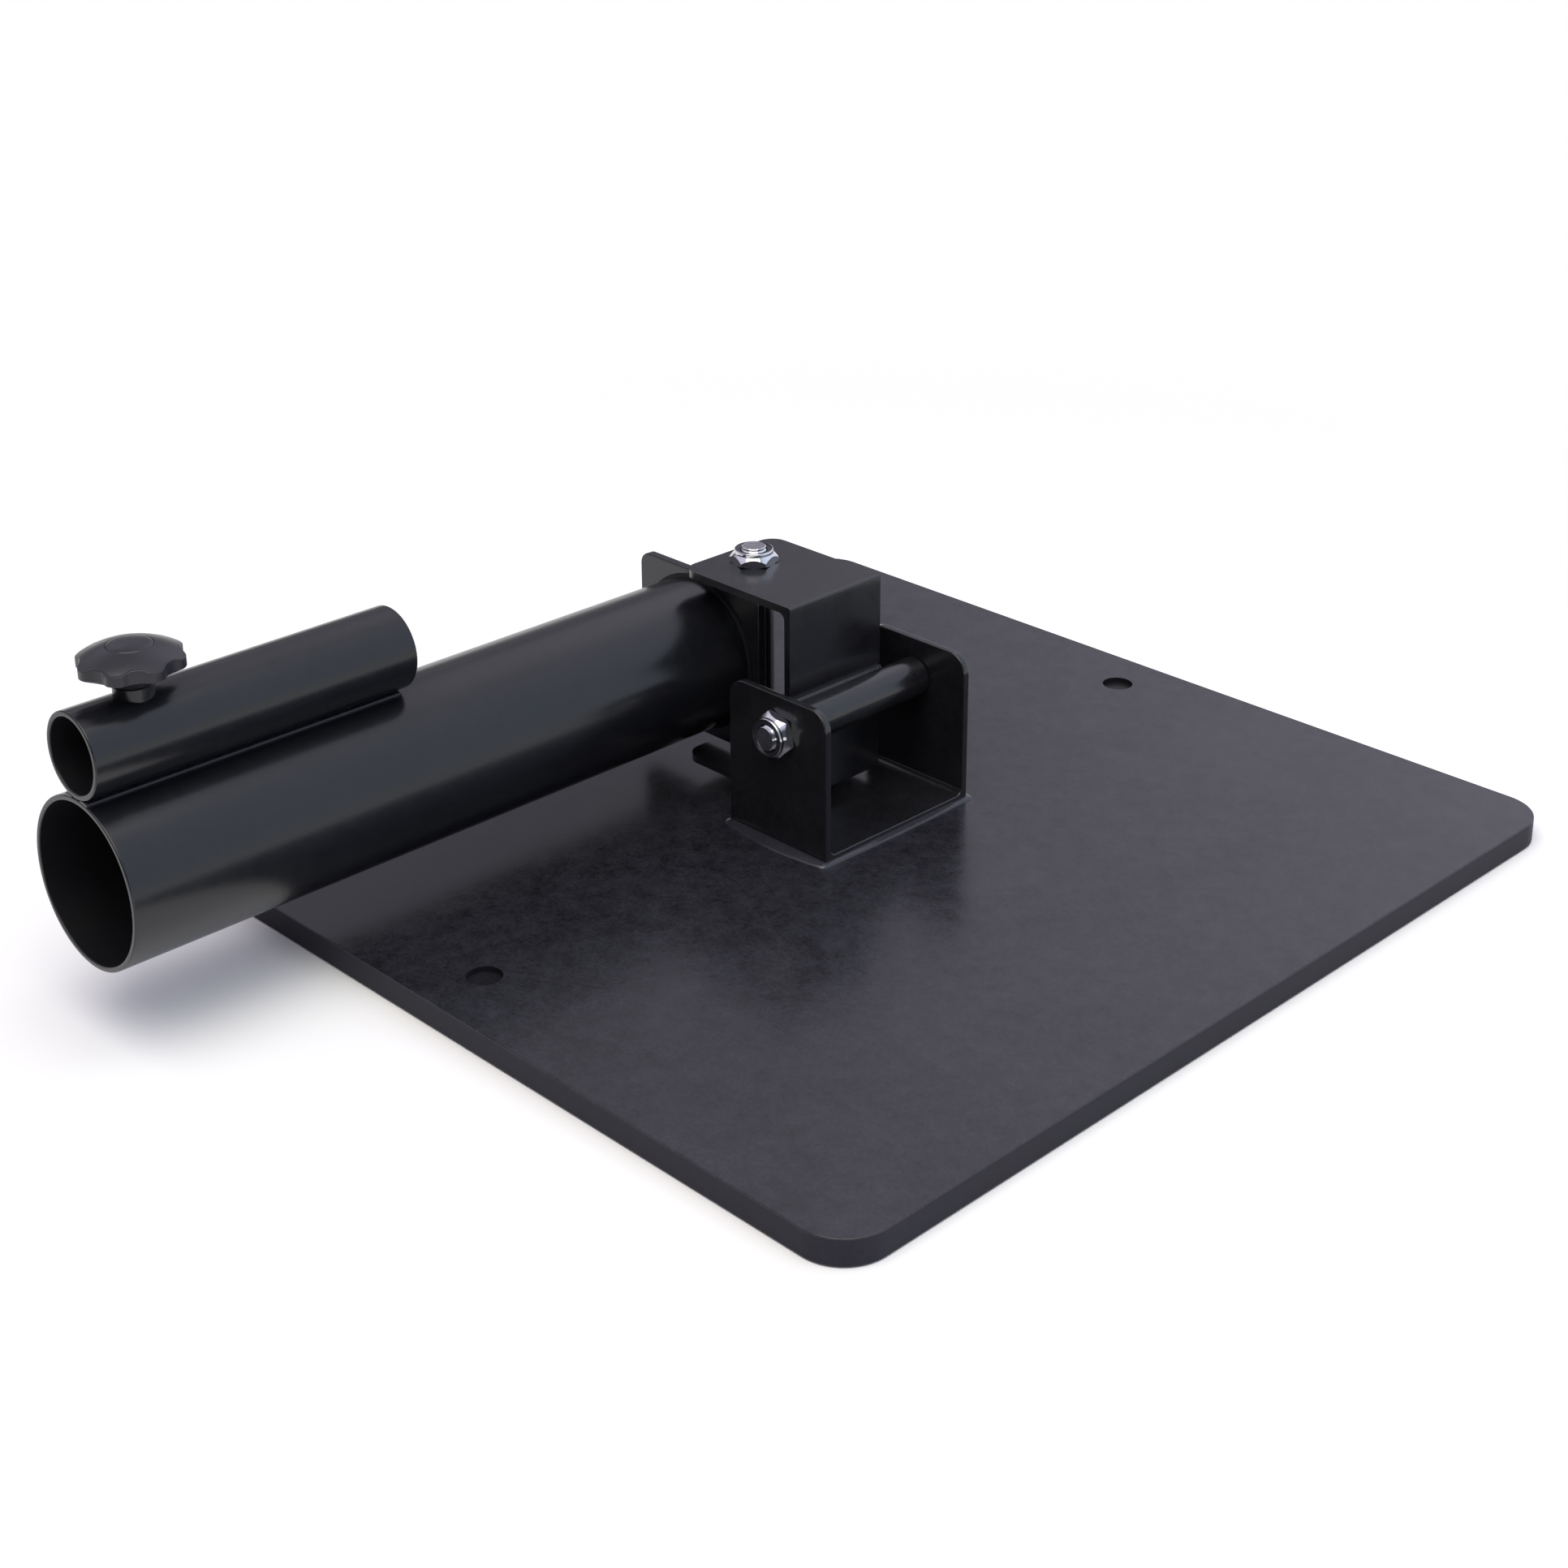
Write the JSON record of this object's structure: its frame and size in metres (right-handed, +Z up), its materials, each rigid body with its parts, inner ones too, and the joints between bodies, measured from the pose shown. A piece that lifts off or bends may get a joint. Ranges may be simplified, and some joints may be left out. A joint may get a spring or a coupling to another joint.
{
  "type": "barbell pivot attachment",
  "caption": "Flat floor plate with a clevis, a tilting yoke and a swivelling pair of open bar tubes, the small tube clamped by a lobed knob.",
  "frame": {"origin": "centre of the floor plate's flat underside", "axes": "+Z up, +X across the plate away from the yoke's open side, -Y along the bar tubes towards their mouths as stored"},
  "size_m": [0.4, 0.4838, 0.1395],
  "materials": {
    "black_coat": "satin black powder coat on steel, smooth, with soft blurred reflections",
    "bright_zinc": "bright zinc plate on steel, clear mirror-like reflections",
    "pale_nylon": "pale natural nylon, smooth and matte",
    "dark_plastic": "dark moulded plastic, fine satin surface"
  },
  "bodies": {
    "base": {"base_plate": "black_coat", "clevis_bracket": "black_coat", "clevis_weld": "black_coat", "pivot_bolt": "bright_zinc", "pivot_nut": "bright_zinc", "pivot_nut_insert": "dark_plastic"},
    "yoke": {"pivot_sleeve": "black_coat", "pivot_weld_upper": "black_coat", "pivot_weld_lower": "black_coat", "yoke_bracket": "black_coat", "swivel_bolt": "bright_zinc", "swivel_bolt_washer": "bright_zinc", "swivel_nut": "bright_zinc", "swivel_nut_insert": "dark_plastic"},
    "tube": {"swivel_sleeve": "black_coat", "swivel_weld_left": "black_coat", "swivel_weld_right": "black_coat", "tube_end_plate": "black_coat", "main_tube": "black_coat", "main_tube_weld": "black_coat", "small_tube": "black_coat", "small_tube_weld_right": "black_coat", "small_tube_weld_left": "black_coat", "knob_boss": "black_coat"},
    "pad": {"knob_pad": "pale_nylon"},
    "knob": {"knob_body": "dark_plastic", "knob_cap": "dark_plastic", "knob_stud": "bright_zinc"}
  },
  "joints": [
    {"name": "tilt", "type": "hinge", "parent": "base", "child": "yoke", "pos_m": [0.0037, 0.005, 0.0563], "axis": [0, 1, 0], "range_deg": [0, 132]},
    {"name": "swivel", "type": "hinge", "parent": "yoke", "child": "tube", "pos_m": [-0.05, 0.005, 0.05917], "axis": [0, 0, 1], "range_deg": [-132, 19]},
    {"name": "knob_travel", "type": "slide", "parent": "tube", "child": "pad", "axis": [0, 0, 1], "range_m": [0, 0.0062]},
    {"name": "knob_turn", "type": "hinge", "parent": "pad", "child": "knob", "pos_m": [-0.07105, -0.2589, 0.12487], "axis": [0, 0, 1], "range_deg": [0, 1780]}
  ],
  "couplings": [
    {"joint": "knob_travel", "follows": "knob_turn", "m_per_rad": 0.00019894}
  ]
}
